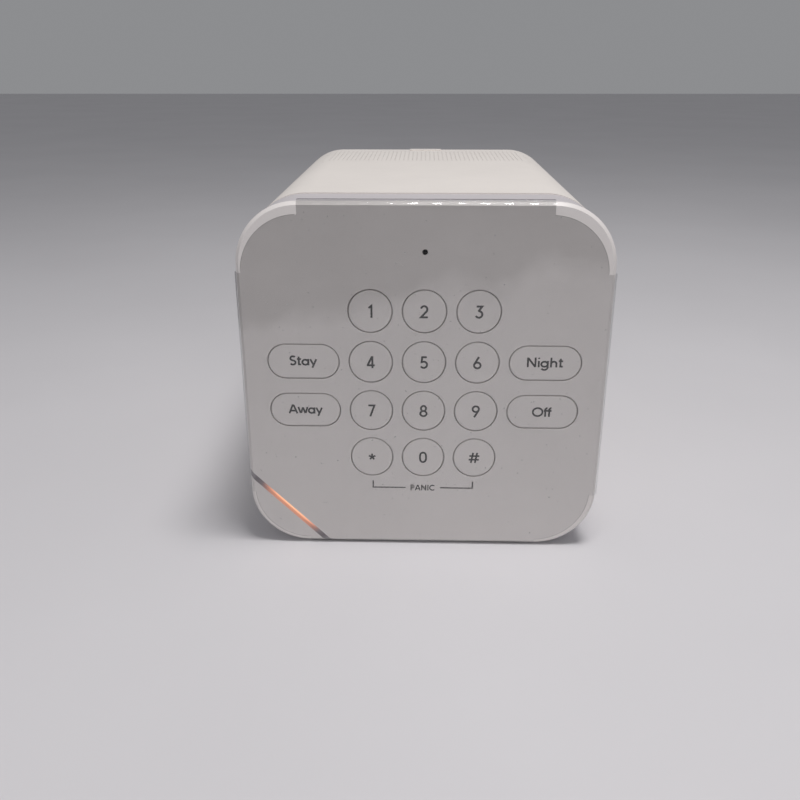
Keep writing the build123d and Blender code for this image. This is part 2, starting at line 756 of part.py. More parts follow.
with BuildPart() as battery_pack:
    with BuildSketch(face_plane(BAY_D[0] + BAY_WALL + 0.5)):
        with Locations((0, BATTERY_UP)):
            SlotOverall(BATTERY[0], BATTERY[2] - 1.6)
            with GridLocations(CELL_STEP, 0, 4, 1):
                Circle(CELL_R)
    extrude(amount=-BATTERY[1])
finish(battery_pack.part, "battery_pack")

# ======== rear cover and what shows in it ========

VENT_UP = 26.0
RESET_TRAVEL = 0.6
DOOR_AXIS_UP = BATTERY_UP - DOOR_SIZE[1] / 2 + DOOR_AXIS_D

with BuildPart() as rear_cover:
    with BuildSketch(face_plane(REAR - COVER_T)):
        size = COVER_SIZE - 2 * COVER_CLEAR
        RectangleRounded(size, size, COVER_R - COVER_CLEAR)
        with Locations(*REAR_CORNERS, *LUGS):
            Circle(1.5, mode=Mode.SUBTRACT)
        with Locations((0, BATTERY_UP)):
            Rectangle(*DOOR_OPENING, mode=Mode.SUBTRACT)
        with Locations((ETHERNET_X, MAIN_TOP + ETHERNET_SIZE[1] / 2)):
            Rectangle(ETHERNET_SIZE[0] + 0.6, ETHERNET_SIZE[1] + 0.6, mode=Mode.SUBTRACT)
        with Locations((POWER_X, POWER_UP)):
            Circle(POWER_R + 0.3, mode=Mode.SUBTRACT)
        with Locations((0, RESET_UP)):
            Circle(RESET_R + 0.25, mode=Mode.SUBTRACT)
        with Locations((0, VENT_UP)):
            with GridLocations(0, 6, 1, 5):
                SlotOverall(56, 2.4, mode=Mode.SUBTRACT)
    extrude(amount=-COVER_T)
    fillet(rear_cover.faces().sort_by(Axis.Y)[-1].outer_wire().edges(), 0.5)
    with BuildSketch(face_plane(REAR - HEAD_H - 0.2)):
        with Locations(*REAR_CORNERS, *LUGS):
            Circle(HEAD_R + 0.3)
    extrude(amount=-5, mode=Mode.SUBTRACT)
    with BuildSketch(face_plane(REAR - DOOR_RECESS)):
        with Locations((0, BATTERY_UP)):
            RectangleRounded(DOOR_SIZE[0] + 2 * DOOR_GAP, DOOR_SIZE[1] + 2 * DOOR_GAP, 1.5 + DOOR_GAP)
    extrude(amount=-5, mode=Mode.SUBTRACT)
    with BuildSketch(SIDE_PLANE):
        with Locations((REAR - DOOR_AXIS_D, DOOR_AXIS_UP)):
            Circle(DOOR_PIN_R + 0.1)
    extrude(amount=DOOR_SIZE[0] / 2 + 1.8, both=True, mode=Mode.SUBTRACT)
finish(rear_cover.part, "rear_cover")

finish(screws([*REAR_CORNERS, *LUGS], REAR - HEAD_H - 0.2, 9.0), "cover_screws")

with BuildPart() as battery_door:
    with BuildSketch(face_plane(REAR - DOOR_T)):
        with Locations((0, BATTERY_UP)):
            RectangleRounded(*DOOR_SIZE, 1.5)
    extrude(amount=-DOOR_T)
    fillet(battery_door.faces().sort_by(Axis.Y)[-1].edges().sort_by(Axis.Z)[0], DOOR_AXIS_D - 0.05)
    fillet(battery_door.faces().sort_by(Axis.Y)[0].edges().sort_by(Axis.Z)[0], 0.5)
    with BuildSketch(face_plane(REAR - DOOR_T)):
        with Locations((0, BATTERY_UP + DOOR_OPENING[1] / 2 - 2.0)):
            Rectangle(14, 1.6)
    extrude(amount=2.0)
    with BuildSketch(face_plane(REAR)):
        with Locations((0, BATTERY_UP + DOOR_SIZE[1] / 2 - 5)):
            SlotOverall(20, 5)
    extrude(amount=0.8, mode=Mode.SUBTRACT)
    with BuildSketch(SIDE_PLANE):
        with Locations((REAR - DOOR_AXIS_D, DOOR_AXIS_UP)):
            Circle(DOOR_PIN_R)
    extrude(amount=DOOR_SIZE[0] / 2 + 1.5, both=True)
finish(battery_door.part, "battery_door")

ETHERNET_D = REAR - 0.4
ETHERNET_UP = MAIN_TOP + ETHERNET_SIZE[1] / 2

with BuildPart() as ethernet_socket:
    with BuildSketch(face_plane(ETHERNET_D)):
        with Locations((ETHERNET_X, ETHERNET_UP)):
            Rectangle(*ETHERNET_SIZE)
    extrude(amount=ETHERNET_L)
    with BuildSketch(face_plane(ETHERNET_D)):
        with Locations((ETHERNET_X, ETHERNET_UP + 0.6)):
            Rectangle(*PLUG_HOLE)
        with Locations((ETHERNET_X, ETHERNET_UP + 0.6 - PLUG_HOLE[1] / 2 - 1.2)):
            Rectangle(5.0, 2.6)
    extrude(amount=PLUG_HOLE_L, mode=Mode.SUBTRACT)
finish(ethernet_socket.part, "ethernet_socket")

with BuildPart() as ethernet_contacts:
    with BuildSketch(face_plane(ETHERNET_D - 1.5)):
        with Locations((ETHERNET_X, ETHERNET_UP + 0.6 + PLUG_HOLE[1] / 2 - 0.35)):
            with GridLocations(1.02, 0, 8, 1):
                Rectangle(0.45, 0.7)
    extrude(amount=9)
finish(ethernet_contacts.part, "ethernet_contacts")

with BuildPart() as power_socket:
    with BuildSketch(face_plane(REAR - COVER_T - 0.4)):
        with Locations((POWER_X, (MAIN_TOP + POWER_UP + POWER_R) / 2)):
            Rectangle(9.6, POWER_UP + POWER_R - MAIN_TOP)
    extrude(amount=11)
    with BuildSketch(face_plane(REAR - 0.4)):
        with Locations((POWER_X, POWER_UP)):
            Circle(POWER_R)
    extrude(amount=5)
    with BuildSketch(face_plane(REAR)):
        with Locations((POWER_X, POWER_UP)):
            Circle(POWER_BORE_R)
    extrude(amount=10, mode=Mode.SUBTRACT)
    with BuildSketch(face_plane(REAR - 1.6)):
        with Locations((POWER_X, POWER_UP)):
            Circle(POWER_PIN_R)
    extrude(amount=9)
finish(power_socket.part, "power_socket")

with BuildPart() as reset_button:
    with BuildSketch(face_plane(REAR - 0.5)):
        with Locations((0, RESET_UP)):
            Circle(RESET_R)
    extrude(amount=COVER_T)
    with BuildSketch(face_plane(REAR - COVER_T - 0.3)):
        with Locations((0, RESET_UP)):
            Circle(RESET_R + 1)
    extrude(amount=1.0)
    fillet(reset_button.faces().sort_by(Axis.Y)[-1].edges(), 0.4)
finish(reset_button.part, "reset_button")

with BuildPart() as reset_switch:
    with BuildSketch(face_plane(REAR - COVER_T - 1.3 - RESET_TRAVEL - 0.1)):
        with Locations((0, RESET_UP)):
            Circle(1.4)
    extrude(amount=1.2)
    with BuildSketch(face_plane(REAR - COVER_T - 2.5 - RESET_TRAVEL - 0.1)):
        with Locations((0, RESET_UP)):
            Rectangle(6, 6)
        with Locations((0, (RESET_UP - 3 + MAIN_TOP) / 2)):
            Rectangle(6, RESET_UP - 3 - MAIN_TOP)
    extrude(amount=3.5)
finish(reset_switch.part, "reset_switch")
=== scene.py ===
"""Looks of the alarm keypad hub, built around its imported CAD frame. Lengths are in metres."""

import json
from math import cos, radians, sin, sqrt

import bmesh
import bpy
from mathutils import Matrix, Vector


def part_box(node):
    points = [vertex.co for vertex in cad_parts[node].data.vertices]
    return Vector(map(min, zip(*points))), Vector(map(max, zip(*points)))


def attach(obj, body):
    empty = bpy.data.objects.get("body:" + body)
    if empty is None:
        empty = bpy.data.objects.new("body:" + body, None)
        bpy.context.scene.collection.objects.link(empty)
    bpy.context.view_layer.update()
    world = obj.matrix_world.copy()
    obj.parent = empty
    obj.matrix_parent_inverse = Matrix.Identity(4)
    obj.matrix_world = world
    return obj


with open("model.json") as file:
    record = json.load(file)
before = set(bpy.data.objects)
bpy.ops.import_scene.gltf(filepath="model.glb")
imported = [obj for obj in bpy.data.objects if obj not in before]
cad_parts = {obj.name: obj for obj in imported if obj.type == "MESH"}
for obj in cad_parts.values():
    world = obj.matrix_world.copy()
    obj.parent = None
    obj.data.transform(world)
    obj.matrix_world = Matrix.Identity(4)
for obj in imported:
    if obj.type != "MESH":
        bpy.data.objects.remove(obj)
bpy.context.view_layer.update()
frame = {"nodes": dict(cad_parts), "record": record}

MM = 0.001
NODES = frame["nodes"]
PANEL_LOW, PANEL_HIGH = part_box("front_panel")
FACE_Y = PANEL_LOW.y  # the face's plane
MID_X = (PANEL_LOW.x + PANEL_HIGH.x) / 2
MID_Z = (PANEL_LOW.z + PANEL_HIGH.z) / 2


# ======== materials ========


class Paint:
    """A material whose node tree is built up from a Principled shader."""

    def __init__(self, name):
        self.material = bpy.data.materials.new(name)
        self.material.use_nodes = True
        self.tree = self.material.node_tree
        self.shader = self.tree.nodes["Principled BSDF"]
        self.coords = None

    def node(self, kind, **inputs):
        made = self.tree.nodes.new(kind)
        for key, value in inputs.items():
            made.inputs[key].default_value = value
        return made

    def link(self, start, end):
        self.tree.links.new(start, end)

    def position(self):
        if self.coords is None:
            self.coords = self.node("ShaderNodeTexCoord")
        return self.coords.outputs["Object"]

    def noise(self, scale, detail=3.0, roughness=0.5, stretch=None):
        """Noise over the surface; scale is in features per metre."""
        texture = self.node("ShaderNodeTexNoise", Scale=scale, Detail=detail, Roughness=roughness)
        place = self.position()
        if stretch:
            mapping = self.node("ShaderNodeMapping")
            mapping.inputs["Scale"].default_value = stretch
            self.link(place, mapping.inputs["Vector"])
            place = mapping.outputs["Vector"]
        self.link(place, texture.inputs["Vector"])
        return texture.outputs["Fac"]

    def ramp(self, value, stops):
        """A colour ramp: stops are (position, colour)."""
        ramp = self.node("ShaderNodeValToRGB")
        elements = ramp.color_ramp.elements
        while len(elements) < len(stops):
            elements.new(0.5)
        for element, (place, colour) in zip(elements, stops):
            element.position = place
            element.color = (*colour, 1)
        self.link(value, ramp.inputs["Fac"])
        return ramp.outputs["Color"]

    def spread(self, value, low, high):
        """Maps a 0 to 1 value onto low to high."""
        span = self.node("ShaderNodeMapRange")
        span.inputs["To Min"].default_value = low
        span.inputs["To Max"].default_value = high
        self.link(value, span.inputs["Value"])
        return span.outputs["Result"]

    def share(self, value, start, end):
        """How far a value lies between two others, from 0 to 1."""
        span = self.node("ShaderNodeMapRange")
        span.inputs["From Min"].default_value = start
        span.inputs["From Max"].default_value = end
        self.link(value, span.inputs["Value"])
        return span.outputs["Result"]

    def math(self, operation, *values, clamp=False):
        """The result of one operation on sockets and numbers."""
        made = self.node("ShaderNodeMath")
        made.operation = operation
        made.use_clamp = clamp
        for socket, value in zip(made.inputs, values):
            if isinstance(value, bpy.types.NodeSocket):
                self.link(value, socket)
            else:
                socket.default_value = value
        return made.outputs["Value"]

    def blend(self, mode, first, second):
        """Two colours blended in full."""
        mix = self.node("ShaderNodeMixRGB", Fac=1.0)
        mix.blend_type = mode
        self.link(first, mix.inputs["Color1"])
        self.link(second, mix.inputs["Color2"])
        return mix.outputs["Color"]

    def mixed(self, share, first, second):
        """A shader that goes from the first to the second as the share grows."""
        mix = self.node("ShaderNodeMixShader")
        self.link(share, mix.inputs["Fac"])
        self.link(first, mix.inputs[1])
        self.link(second, mix.inputs[2])
        return mix.outputs["Shader"]

    def bump(self, height, depth, strength=1.0, below=None):
        """Bump from a height field of this depth in metres."""
        bump = self.node("ShaderNodeBump", Strength=strength, Distance=depth)
        self.link(height, bump.inputs["Height"])
        if below is not None:
            self.link(below, bump.inputs["Normal"])
        return bump.outputs["Normal"]


def srgb(*levels):
    """Linear colour from 0 to 255 display levels."""
    return tuple(((v / 255 + 0.055) / 1.055) ** 2.4 if v > 10 else v / 255 / 12.92 for v in levels)


def grey(level):
    return (level, level, level)


def scaled(colour, factor):
    return tuple(min(1.0, c * factor) for c in colour)


def plastic(name, colour, rough=0.45, grain=2600.0, grain_depth=0.02 * MM):
    """Moulded plastic: faint colour drift, spark-eroded texture, uneven gloss."""
    paint = Paint(name)
    blotch = 0.03
    drift = paint.noise(28.0, 4.0, 0.6)
    tint = paint.ramp(drift, [(0.25, scaled(colour, 1 - blotch)), (0.75, scaled(colour, 1 + blotch))])
    paint.link(tint, paint.shader.inputs["Base Color"])
    gloss = paint.noise(190.0, 2.0, 0.5)
    paint.link(paint.spread(gloss, rough - 0.05, rough + 0.05), paint.shader.inputs["Roughness"])
    fine = paint.noise(grain, 2.0, 0.55)
    paint.link(paint.bump(fine, grain_depth), paint.shader.inputs["Normal"])
    return paint.material


def metal(name, colour, rough=0.3, brush=(1, 1, 1)):
    """Bare metal with a drawn or plated surface."""
    paint = Paint(name)
    paint.shader.inputs["Metallic"].default_value = 1.0
    streak = paint.noise(900.0, 3.0, 0.6, stretch=brush)
    tint = paint.ramp(streak, [(0.3, scaled(colour, 0.9)), (0.7, scaled(colour, 1.06))])
    paint.link(tint, paint.shader.inputs["Base Color"])
    paint.link(paint.spread(streak, rough - 0.08, rough + 0.1), paint.shader.inputs["Roughness"])
    paint.link(paint.bump(streak, 0.01 * MM), paint.shader.inputs["Normal"])
    return paint.material


def rubber(name, colour, rough=0.8):
    """Rubber, or another dull stuff, with paler dust on it."""
    paint = Paint(name)
    dust = paint.noise(260.0, 5.0, 0.65)
    tint = paint.ramp(dust, [(0.35, colour), (0.85, scaled(colour, 1.5))])
    paint.link(tint, paint.shader.inputs["Base Color"])
    paint.link(paint.spread(dust, rough - 0.1, min(1.0, rough + 0.1)), paint.shader.inputs["Roughness"])
    fine = paint.noise(3500.0, 2.0, 0.5)
    paint.link(paint.bump(fine, 0.03 * MM), paint.shader.inputs["Normal"])
    return paint.material


def circuit_board(name):
    """Green solder mask with copper tracks showing through as lighter lines."""
    paint = Paint(name)
    brick = paint.node("ShaderNodeTexBrick", Scale=330.0)
    brick.inputs["Mortar Size"].default_value = 0.06
    brick.inputs["Color1"].default_value = (*srgb(16, 74, 44), 1)
    brick.inputs["Color2"].default_value = (*srgb(20, 84, 50), 1)
    brick.inputs["Mortar"].default_value = (*srgb(44, 118, 72), 1)
    paint.link(paint.position(), brick.inputs["Vector"])
    paint.link(brick.outputs["Color"], paint.shader.inputs["Base Color"])
    paint.shader.inputs["Roughness"].default_value = 0.35
    paint.link(paint.bump(brick.outputs["Fac"], 0.03 * MM), paint.shader.inputs["Normal"])
    return paint.material


def woven(name, colour, pitch=0.7 * MM):
    """Fine woven cloth from two crossed wave patterns."""
    paint = Paint(name)
    waves = []
    for direction in ("X", "Y"):
        wave = paint.node("ShaderNodeTexWave", Scale=1 / (pitch * 20))
        wave.bands_direction = direction
        paint.link(paint.position(), wave.inputs["Vector"])
        waves.append(wave.outputs["Fac"])
    weave = paint.math("MULTIPLY", *waves)
    tint = paint.ramp(weave, [(0.0, scaled(colour, 0.5)), (1.0, scaled(colour, 1.6))])
    paint.link(tint, paint.shader.inputs["Base Color"])
    paint.shader.inputs["Roughness"].default_value = 0.9
    paint.link(paint.bump(weave, 0.1 * MM), paint.shader.inputs["Normal"])
    return paint.material


SHELL_WHITE = srgb(222, 216, 211)
FACE_WHITE = srgb(219, 214, 212)
BEZEL_GREY = srgb(192, 187, 190)

MATERIALS = {
    "white_shell": plastic("shell_white", SHELL_WHITE, rough=0.5, grain_depth=0.03 * MM),
    "white_face": plastic("face_white", FACE_WHITE, rough=0.42),
    "key_white": plastic("key_white", scaled(FACE_WHITE, 1.02), rough=0.42),
    "bezel_grey": plastic("bezel_grey", BEZEL_GREY, rough=0.45),
    "black_plastic": plastic("black_plastic", srgb(28, 28, 30), rough=0.5),
    "silicone": rubber("silicone", srgb(150, 150, 150), rough=0.7),
    "rubber_dark": rubber("rubber_dark", srgb(34, 34, 35)),
    "board_green": circuit_board("board_green"),
    "screw_steel": metal("screw_steel", srgb(150, 150, 152), rough=0.35),
    "bright_metal": metal("bright_metal", srgb(196, 196, 198), rough=0.28, brush=(1, 12, 1)),
    "gold": metal("gold", srgb(214, 170, 92), rough=0.25),
    "cloth": woven("cloth", srgb(120, 118, 118)),
    "paper_cone": rubber("paper_cone", srgb(40, 38, 36), rough=0.9),
    "battery_wrap": plastic("battery_wrap", srgb(40, 62, 104), rough=0.25),
    "ribbon": plastic("ribbon", srgb(214, 208, 184), rough=0.35),
    "label": plastic("label", srgb(206, 206, 206), rough=0.4, grain=1200.0),
}


BAR_HALF_LENGTH = 18.88 * MM
BAR_WIDTH = 1.75 * MM


def light_material():
    """The light bar: a warm glow in its middle that fades to unlit grey towards its ends, with painted glow
    in its diffuser's colour.
    """
    paint = Paint("light_diffuser")
    low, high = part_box("light_bar")
    middle = (low + high) / 2
    mapping = paint.node("ShaderNodeMapping")
    mapping.inputs["Location"].default_value = (-middle.x, 0, -middle.z)
    paint.link(paint.position(), mapping.inputs["Vector"])
    parts = paint.node("ShaderNodeSeparateXYZ")
    paint.link(mapping.outputs["Vector"], parts.inputs["Vector"])
    x, z = parts.outputs["X"], parts.outputs["Z"]

    # the bar slants at 45 degrees, so x - z grows along it and x + z across it
    along = paint.share(paint.math("ABSOLUTE", paint.math("SUBTRACT", x, z)), 0, BAR_HALF_LENGTH * sqrt(2))
    across = paint.share(paint.math("ABSOLUTE", paint.math("ADD", x, z)), 0, BAR_WIDTH / sqrt(2))
    length = paint.ramp(along, [
        (0.0, srgb(255, 190, 138)),
        (0.32, srgb(252, 178, 126)),
        (0.55, srgb(176, 108, 80)),
        (0.72, grey(0)),
    ])
    core = paint.ramp(across, [(0.40, grey(1)), (0.75, (0.62, 0.40, 0.30)), (1.0, (0.34, 0.20, 0.15))])
    # the diffuser's colour is warm in the middle as painted glow, greyer towards the ends, and darker in a
    # band near each end
    skin_and_glow = paint.ramp(along, [
        (0.5, srgb(196, 150, 130)),
        (0.70, srgb(132, 120, 124)),
        (0.84, srgb(104, 96, 102)),
        (0.92, srgb(134, 128, 132)),
    ])
    paint.link(skin_and_glow, paint.shader.inputs["Base Color"])
    paint.link(paint.blend("MULTIPLY", length, core), paint.shader.inputs["Emission Color"])
    paint.shader.inputs["Emission Strength"].default_value = 0.95
    paint.shader.inputs["Roughness"].default_value = 0.3
    frost = paint.noise(1500.0)
    paint.link(paint.bump(frost, 0.02 * MM), paint.shader.inputs["Normal"])
    return paint.material


# heights above the middle of the face: its top, and the stretch in which the film folds over it
HALF_FACE = (PANEL_HIGH.z - PANEL_LOW.z) / 2
FOLD_LOW = HALF_FACE - 1.05 * MM
FOLD_HIGH = HALF_FACE + 0.45 * MM
FILM_IOR = 1.8


def film_normal(paint):
    """Broad waves in the film, with finer creases over them that run sideways."""
    waves = paint.noise(26.0, 2.0, 0.5, stretch=(0.6, 1.0, 1.4))
    creases = paint.noise(210.0, 4.0, 0.6, stretch=(0.22, 1.0, 1.0))
    return paint.bump(creases, 0.45 * MM, 0.7, below=paint.bump(waves, 1.6 * MM, 0.6))


def painted_film_sheen(paint, x, z, rise):
    """Painted reflection strength of the film: its top fold is painted dull but for painted glints, and a
    painted dimmer zone lies above a slanting line.
    """
    fold = paint.share(z, MID_Z + FOLD_LOW, MID_Z + FOLD_HIGH)
    # painted dull fold: it mirrors little but at the painted glints
    dull = paint.ramp(fold, [(0.25, grey(1.0)), (0.28, grey(0.08))])
    # painted dimmer zone: the film mirrors less above a wavy slanting line
    slant = paint.math("MULTIPLY_ADD", x, -1.4, rise)
    wavy = paint.math("MULTIPLY_ADD", paint.noise(38.0, 3.0, 0.55), 0.22, slant)
    painted_dim_zone = paint.ramp(wavy, [(0.84, grey(1.0)), (0.90, grey(0.25))])
    # painted glints: bright dashes in a band along the fold
    line = paint.ramp(fold, [(0.25, grey(0.0)), (0.28, grey(0.8)), (0.44, grey(0.8)), (0.50, grey(0.0))])
    wave = paint.node("ShaderNodeTexWave", Scale=42.5, Distortion=0.8)
    paint.link(paint.position(), wave.inputs["Vector"])
    dashes = paint.ramp(wave.outputs["Fac"], [(0.6, grey(0.06)), (0.85, grey(1.0))])
    return paint.blend("LIGHTEN", paint.blend("MULTIPLY", dull, painted_dim_zone), paint.blend("MULTIPLY", line, dashes))


def film_material():
    """Clear protective film: a faint haze with painted shade that grows towards its top, specks, and
    reflections broken up by creases and by painted glints and a painted dimmer zone.
    """
    paint = Paint("clear_film")
    parts = paint.node("ShaderNodeSeparateXYZ")
    paint.link(paint.position(), parts.inputs["Vector"])
    x, z = parts.outputs["X"], parts.outputs["Z"]
    rise = paint.share(z, MID_Z - HALF_FACE, MID_Z + HALF_FACE)
    normal = film_normal(paint)

    clear = paint.node("ShaderNodeBsdfTransparent")
    # the film lets a little less through towards its top: a faint grey, and painted shade that darkens the
    # face below towards the top
    paint.link(paint.ramp(rise, [(0.0, grey(0.965)), (1.0, grey(0.92))]), clear.inputs["Color"])
    gloss = paint.node("ShaderNodeBsdfGlossy", Roughness=0.08)
    paint.link(normal, gloss.inputs["Normal"])
    # painted glints and a painted dimmer zone set how strongly the film mirrors
    paint.link(painted_film_sheen(paint, x, z, rise), gloss.inputs["Color"])

    # only the side that faces out reflects
    fresnel = paint.node("ShaderNodeFresnel", IOR=FILM_IOR)
    paint.link(normal, fresnel.inputs["Normal"])
    sides = paint.node("ShaderNodeNewGeometry")
    outer = paint.math("SUBTRACT", fresnel.outputs["Fac"], sides.outputs["Backfacing"], clamp=True)
    shine = paint.mixed(outer, clear.outputs["BSDF"], gloss.outputs["BSDF"])

    dust = paint.node("ShaderNodeBsdfDiffuse", Color=(*grey(0.9), 1))
    specks = paint.ramp(paint.noise(900.0, 2.0, 0.5), [(0.70, grey(0.0)), (0.78, grey(0.35))])
    specked = paint.mixed(specks, shine, dust.outputs["BSDF"])
    paint.link(specked, paint.tree.nodes["Material Output"].inputs["Surface"])
    paint.tree.nodes.remove(paint.shader)
    return paint.material


MATERIALS["light_diffuser"] = light_material()
MATERIALS["clear_film"] = film_material()

INK = plastic("legend_ink", srgb(16, 15, 17), rough=0.5, grain=5000.0, grain_depth=0.004 * MM)
# painted shade for the dark line along the film's cut edge
FILM_EDGE_SHADE = plastic("film_edge_shade", srgb(150, 146, 145), rough=0.3, grain=5000.0, grain_depth=0.004 * MM)

for entry in frame["record"]["subparts"]:
    cad = NODES[entry["node"]]
    material = MATERIALS[entry["material_slot"]]
    if not cad.data.materials:
        cad.data.materials.append(material)
    for place in range(len(cad.data.materials)):
        cad.data.materials[place] = material

# the film is flat between its folds, and is drawn in by a hair's breadth so that air lies behind it
AIR = 0.02 * MM
film = NODES["protective_film"]
film_data = film.data
air = film.modifiers.new("air", "DISPLACE")
air.strength = -AIR
air.mid_level = 0.0
film_data.shade_flat()
if "custom_normal" in film_data.attributes:
    film_data.attributes.remove(film_data.attributes["custom_normal"])


def add_object(name, data):
    made = bpy.data.objects.new(name, data)
    bpy.context.scene.collection.objects.link(made)
    return made


def made_piece(name, mesh, material, body):
    """Turns a bmesh into a piece that rides on a body."""
    bmesh.ops.recalc_face_normals(mesh, faces=mesh.faces)
    data = bpy.data.meshes.new(name)
    mesh.to_mesh(data)
    mesh.free()
    data.materials.append(material)
    made = add_object(name, data)
    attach(made, body)


# ======== legends ========

INK_T = 0.02 * MM
LEAST_MITER = 0.4  # keeps a sharp corner from growing a long spike


def arc(x, z, rx, rz, start, end, steps=20):
    """Points on an elliptical arc, with angles in degrees, anticlockwise when end is larger."""
    angles = [radians(start + (end - start) * i / steps) for i in range(steps + 1)]
    return [(x + rx * cos(a), z + rz * sin(a)) for a in angles]


def oval(x, z, rx, rz, square=2.5, steps=40):
    """A closed, slightly squared oval."""
    points = []
    for px, pz in arc(0, 0, 1, 1, 90, 450, steps):
        points.append((x + rx * abs(px) ** (2 / square) * (1 if px > 0 else -1),
                       z + rz * abs(pz) ** (2 / square) * (1 if pz > 0 else -1)))
    return points[:-1] + points[:1]


# Each glyph is (advance, strokes) with a cap height of 1; a stroke is its centre line's points.
GLYPHS = {
    "0": (0.64, [oval(0.32, 0.5, 0.243, 0.415)]),
    "1": (0.34, [[(0.02, 0.76), (0.24, 0.93), (0.24, 0.0)]]),
    "2": (0.62, [arc(0.30, 0.68, 0.235, 0.25, 165, -38, 22) + [(0.07, 0.07), (0.58, 0.07)]]),
    "3": (0.62, [[(0.09, 0.93), (0.50, 0.93), (0.27, 0.60)] + arc(0.28, 0.32, 0.25, 0.25, 85, -155, 26)]),
    "4": (0.68, [[(0.46, 0.0), (0.46, 0.98)], [(0.43, 0.94), (0.10, 0.26)], [(0.03, 0.24), (0.64, 0.24)]]),
    "5": (0.62, [[(0.51, 0.93), (0.16, 0.93), (0.12, 0.53)] + arc(0.28, 0.32, 0.25, 0.25, 118, -150, 26)]),
    "6": (0.64, [[(0.43, 0.99), (0.115, 0.44)], arc(0.32, 0.30, 0.245, 0.235, 150, 510, 34)]),
    "7": (0.60, [[(0.06, 0.93), (0.53, 0.93), (0.20, 0.0)]]),
    "8": (0.64, [arc(0.32, 0.71, 0.195, 0.22, -90, 270, 32), arc(0.32, 0.28, 0.245, 0.215, 90, 450, 34)]),
    "9": (0.64, [[(0.21, 0.01), (0.525, 0.56)], arc(0.32, 0.70, 0.245, 0.235, -30, 330, 34)]),
    "S": (0.60, [arc(0.295, 0.715, 0.205, 0.21, 35, 245, 20) + arc(0.285, 0.28, 0.22, 0.215, 65, -150, 22)]),
    "t": (0.40, [[(0.17, 0.90), (0.17, 0.09), (0.36, 0.08)], [(0.02, 0.64), (0.36, 0.64)]]),
    "a": (0.68, [arc(0.30, 0.32, 0.245, 0.26, 0, 360, 34), [(0.555, 0.66), (0.555, 0.0)]]),
    "y": (0.58, [[(0.03, 0.64), (0.28, 0.06)], [(0.53, 0.64), (0.18, -0.26)]]),
    "A": (0.80, [[(0.04, 0.0), (0.37, 0.96)], [(0.74, 0.0), (0.41, 0.96)], [(0.17, 0.29), (0.61, 0.29)]]),
    "w": (0.88, [[(0.04, 0.70), (0.22, 0.04)], [(0.43, 0.66), (0.26, 0.04)],
                 [(0.45, 0.66), (0.62, 0.04)], [(0.84, 0.70), (0.66, 0.04)]]),
    "N": (0.82, [[(0.10, 0.0), (0.10, 1.0)], [(0.12, 0.94), (0.66, 0.06)], [(0.68, 0.0), (0.68, 1.0)]]),
    "i": (0.24, [[(0.11, 0.66), (0.11, 0.0)], [(0.11, 0.86), (0.11, 0.99)]]),
    "g": (0.70, [arc(0.30, 0.32, 0.245, 0.26, 0, 360, 34),
                 [(0.555, 0.66), (0.555, 0.0)] + arc(0.305, 0.0, 0.25, 0.27, 0, -150, 18)]),
    "h": (0.64, [[(0.10, 1.0), (0.10, 0.0)],
                 [(0.10, 0.34)] + arc(0.31, 0.36, 0.2, 0.23, 170, 0, 18) + [(0.51, 0.0)]]),
    "O": (1.00, [arc(0.48, 0.5, 0.42, 0.43, 90, 450, 44)]),
    "f": (0.33, [[(0.14, 0.0), (0.14, 0.76)] + arc(0.30, 0.76, 0.16, 0.175, 180, 85, 10),
                 [(0.0, 0.64), (0.34, 0.64)]]),
    "P": (0.62, [[(0.10, 0.0), (0.10, 0.93), (0.33, 0.93)]
                 + arc(0.33, 0.69, 0.22, 0.24, 90, -90, 18) + [(0.10, 0.45)]]),
    "I": (0.26, [[(0.12, 0.0), (0.12, 1.0)]]),
    "C": (0.86, [arc(0.46, 0.5, 0.40, 0.43, 48, 312, 34)]),
    "#": (1.00, [[(0.20, 0.0), (0.38, 1.0)], [(0.56, 0.0), (0.74, 1.0)],
                 [(0.00, 0.32), (0.90, 0.32)], [(0.05, 0.68), (0.95, 0.68)]]),
    "*": (1.00, [[(0.5, 0.5), (0.5 + 0.5 * cos(radians(a)), 0.5 + 0.5 * sin(radians(a)))]
                 for a in (90, 162, 234, 306, 18)]),
}


def ribbon(mesh, points, width, plane_y, lift):
    """Adds a flat ribbon along points of (x, z) to a bmesh; it rises by a lift from the plane at y."""
    ring = (Vector(points[0]) - Vector(points[-1])).length < 1e-9
    line = [Vector(p) for p in (points[:-1] if ring else points)]
    count = len(line)
    sides = []
    for i, here in enumerate(line):
        ways = []
        if ring or i:
            ways.append((here - line[i - 1]).normalized())
        if ring or i < count - 1:
            ways.append((line[(i + 1) % count] - here).normalized())
        way = sum(ways, Vector((0, 0))).normalized()
        across = Vector((-way.y, way.x))
        stretch = 1 / max(LEAST_MITER, across.dot(Vector((-ways[0].y, ways[0].x))))
        sides.append((here + across * width / 2 * stretch, here - across * width / 2 * stretch))
    tops = [[mesh.verts.new((p.x, plane_y - lift, p.y)) for p in pair] for pair in sides]
    feet = [[mesh.verts.new((p.x, plane_y, p.y)) for p in pair] for pair in sides]
    for i in range(count if ring else count - 1):
        j = (i + 1) % count
        mesh.faces.new((tops[i][0], tops[j][0], tops[j][1], tops[i][1]))
        mesh.faces.new((feet[i][1], feet[j][1], feet[j][0], feet[i][0]))
        mesh.faces.new((tops[i][0], feet[i][0], feet[j][0], tops[j][0]))
        mesh.faces.new((tops[j][1], feet[j][1], feet[i][1], tops[i][1]))
    if not ring:
        mesh.faces.new((tops[0][1], feet[0][1], feet[0][0], tops[0][0]))
        mesh.faces.new((tops[-1][0], feet[-1][0], feet[-1][1], tops[-1][1]))


